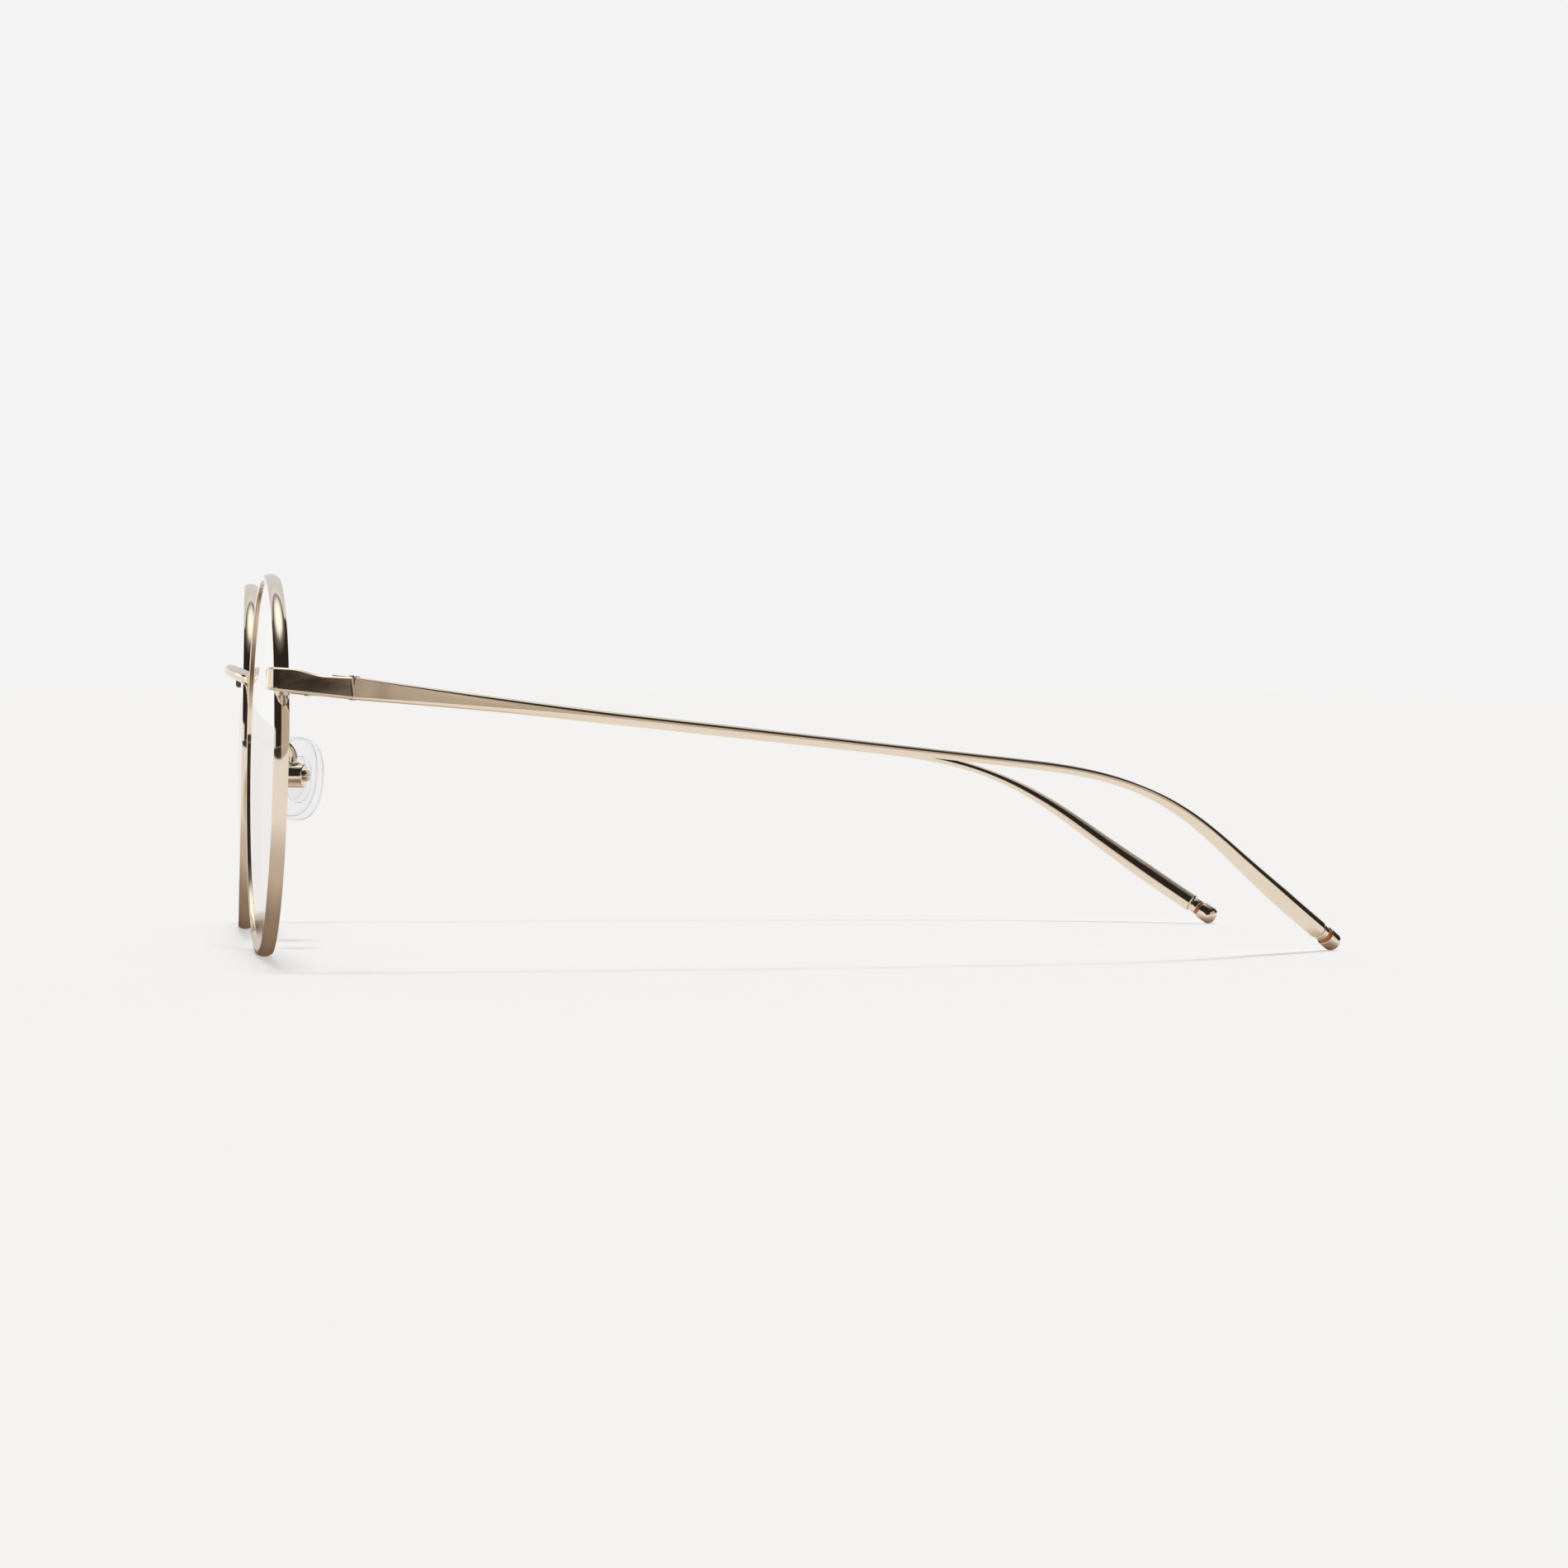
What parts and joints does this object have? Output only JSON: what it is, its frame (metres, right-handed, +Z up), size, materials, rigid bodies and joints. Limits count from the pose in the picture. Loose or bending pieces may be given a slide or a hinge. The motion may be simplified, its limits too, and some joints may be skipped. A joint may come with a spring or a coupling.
{
  "type": "eyeglasses",
  "caption": "Round metal wire eyeglasses with a rounded panto outline, clear lenses, adjustable nose pads and folding temples.",
  "frame": {"origin": "Middle of the object's box in X and Y, on the surface it stands on, with the temples open.", "axes": "+X towards the wearer's left, +Y backwards along the temples, +Z up. The lenses face -Y."},
  "size_m": [0.1258, 0.147, 0.0495],
  "materials": {
    "gold": "polished pale gold plate",
    "hinge_metal": "polished pale gold plate",
    "screw": "bright turned",
    "lens": "polished clear with a faint lilac coating",
    "nose_pad": "clear soft plastic",
    "pad_core": "clear hard plastic",
    "orange": "glossy orange band"
  },
  "bodies": {
    "front": {"bridge": "gold", "left_rim": "gold", "right_rim": "gold", "left_lens": "lens", "right_lens": "lens", "left_endpiece": "gold", "right_endpiece": "gold", "left_hinge_front": "hinge_metal", "right_hinge_front": "hinge_metal", "left_hinge_screw": "screw", "right_hinge_screw": "screw", "left_closing_block_upper": "gold", "right_closing_block_upper": "gold", "left_closing_block_lower": "gold", "right_closing_block_lower": "gold", "left_closing_screw": "screw", "right_closing_screw": "screw", "left_pad_arm": "gold", "right_pad_arm": "gold", "left_pad_box": "gold", "right_pad_box": "gold", "left_pad_screw": "screw", "right_pad_screw": "screw"},
    "left_temple": {"left_temple": "gold", "left_hinge_temple": "hinge_metal", "left_tip_collar": "gold", "left_tip_ring": "orange", "left_tip_cap": "gold"},
    "right_temple": {"right_temple": "gold", "right_hinge_temple": "hinge_metal", "right_tip_collar": "gold", "right_tip_ring": "orange", "right_tip_cap": "gold"},
    "left_pad": {"left_nose_pad": "nose_pad", "left_pad_core": "pad_core"},
    "right_pad": {"right_nose_pad": "nose_pad", "right_pad_core": "pad_core"}
  },
  "joints": [
    {"name": "left_temple_fold", "type": "hinge", "parent": "front", "child": "left_temple", "pos_m": [0.06093, -0.05929, 0.03479], "axis": [0, 0.1097, 0.994], "range_deg": [0, 84]},
    {"name": "right_temple_fold", "type": "hinge", "parent": "front", "child": "right_temple", "pos_m": [-0.06093, -0.05929, 0.03479], "axis": [0, -0.1097, -0.994], "range_deg": [0, 70]},
    {"name": "left_pad_rock", "type": "hinge", "parent": "front", "child": "left_pad", "pos_m": [0.0103, -0.06459, 0.0229], "axis": [0.3746, 0.9272, 0], "range_deg": [-8, 8]},
    {"name": "right_pad_rock", "type": "hinge", "parent": "front", "child": "right_pad", "pos_m": [-0.0103, -0.06459, 0.0229], "axis": [-0.3746, 0.9272, 0], "range_deg": [-8, 8]}
  ]
}
